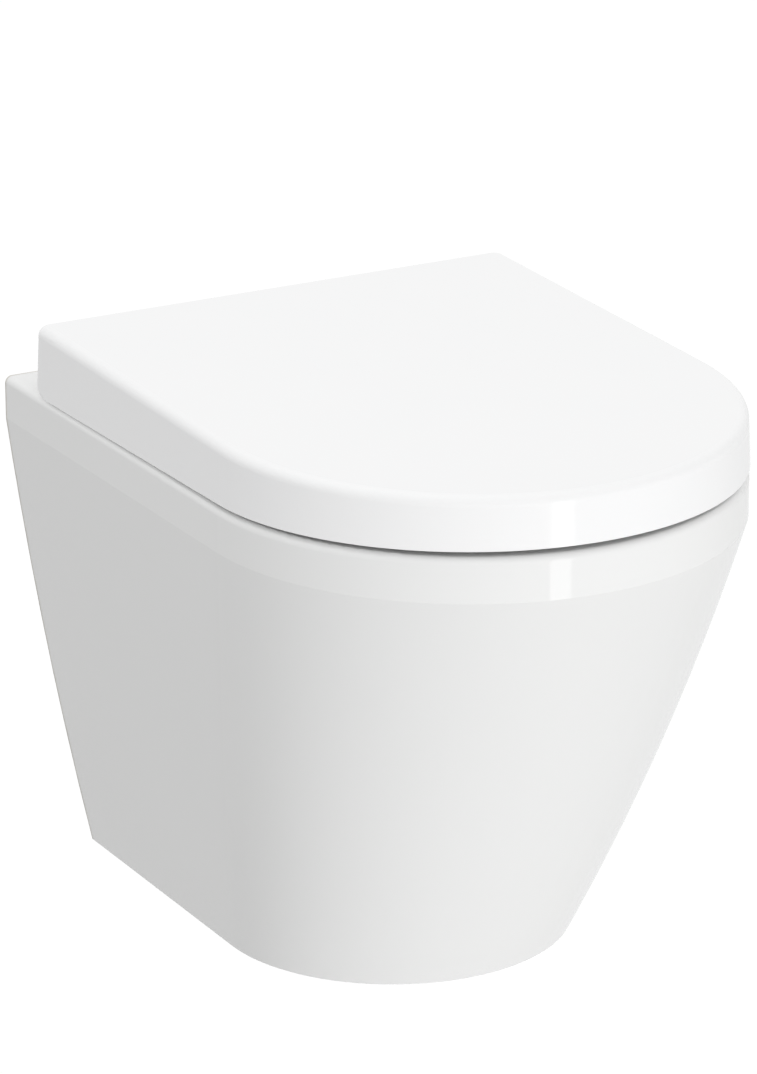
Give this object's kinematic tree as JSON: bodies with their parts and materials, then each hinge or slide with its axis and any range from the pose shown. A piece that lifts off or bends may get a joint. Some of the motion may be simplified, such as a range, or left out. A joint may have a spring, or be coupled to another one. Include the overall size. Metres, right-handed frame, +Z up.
{
  "type": "wall hung toilet",
  "caption": "Compact wall hung toilet pan with a tapering round-nosed skirt, concealed wall fixing, seat ring and overlapping flat lid on soft-close lift-off hinges",
  "frame": {"origin": "midway between the two wall studs, on the wall plane", "axes": "+X to the right seen from the front, +Y into the wall, +Z up"},
  "size_m": [0.355, 0.4808, 0.3924],
  "materials": {
    "vitreous_china": "gloss white glaze",
    "seat_plastic": "gloss white, moulded",
    "cap_plastic": "gloss white",
    "bumper_rubber": "soft, off white",
    "clear_rubber": "soft, milky",
    "black_rubber": "matt black",
    "chrome_hinge": "polished",
    "chrome_button": "polished",
    "stainless": "turned, satin",
    "zinc_steel": "zinc plated",
    "brass_nut": "as turned",
    "damper_plastic": "grey, moulded",
    "bracket_nylon": "dark grey, moulded"
  },
  "bodies": {
    "pan_body": {"pan": "vitreous_china", "inlet_seal": "black_rubber", "wall_brackets": "bracket_nylon", "stud_washers": "zinc_steel", "stud_nuts": "zinc_steel", "lock_screws": "zinc_steel", "screw_caps": "cap_plastic", "base_gaskets": "clear_rubber", "hinge_base_plates": "stainless", "hinge_posts": "stainless", "expansion_bushes": "black_rubber", "cone_nuts": "brass_nut"},
    "hinge_unit": {"right_hinge_body": "chrome_hinge", "left_hinge_body": "chrome_hinge", "seat_damper": "damper_plastic", "lid_damper": "damper_plastic", "lid_hinge_pin": "stainless", "seat_hinge_pin": "stainless", "release_springs": "stainless"},
    "right_button": {"right_release_button": "chrome_button"},
    "left_button": {"left_release_button": "chrome_button"},
    "seat": {"seat_ring": "seat_plastic", "seat_bumpers": "bumper_rubber", "seat_damper_shaft": "stainless"},
    "cover": {"lid": "seat_plastic", "lid_bumpers": "bumper_rubber", "lid_damper_shaft": "stainless"}
  },
  "joints": [
    {"name": "seat_lift_off", "type": "slide", "parent": "pan_body", "child": "hinge_unit", "axis": [0, 0, 1], "range_m": [0, 0.04]},
    {"name": "seat_hinge", "type": "hinge", "parent": "hinge_unit", "child": "seat", "pos_m": [0, -0.062, 0.1024], "axis": [-1, 0, 0], "range_deg": [0, 95]},
    {"name": "lid_hinge", "type": "hinge", "parent": "seat", "child": "cover", "pos_m": [0, -0.062, 0.1024], "axis": [1, 0, 0], "range_deg": [-95, 0]},
    {"name": "right_button_press", "type": "slide", "parent": "hinge_unit", "child": "right_button", "axis": [0, 0, -1], "range_m": [0, 0.0024], "stiffness_N_per_m": 600, "deforming": ["release_springs"]},
    {"name": "left_button_press", "type": "slide", "parent": "hinge_unit", "child": "left_button", "axis": [0, 0, -1], "range_m": [0, 0.0024], "stiffness_N_per_m": 600, "deforming": ["release_springs"]}
  ]
}
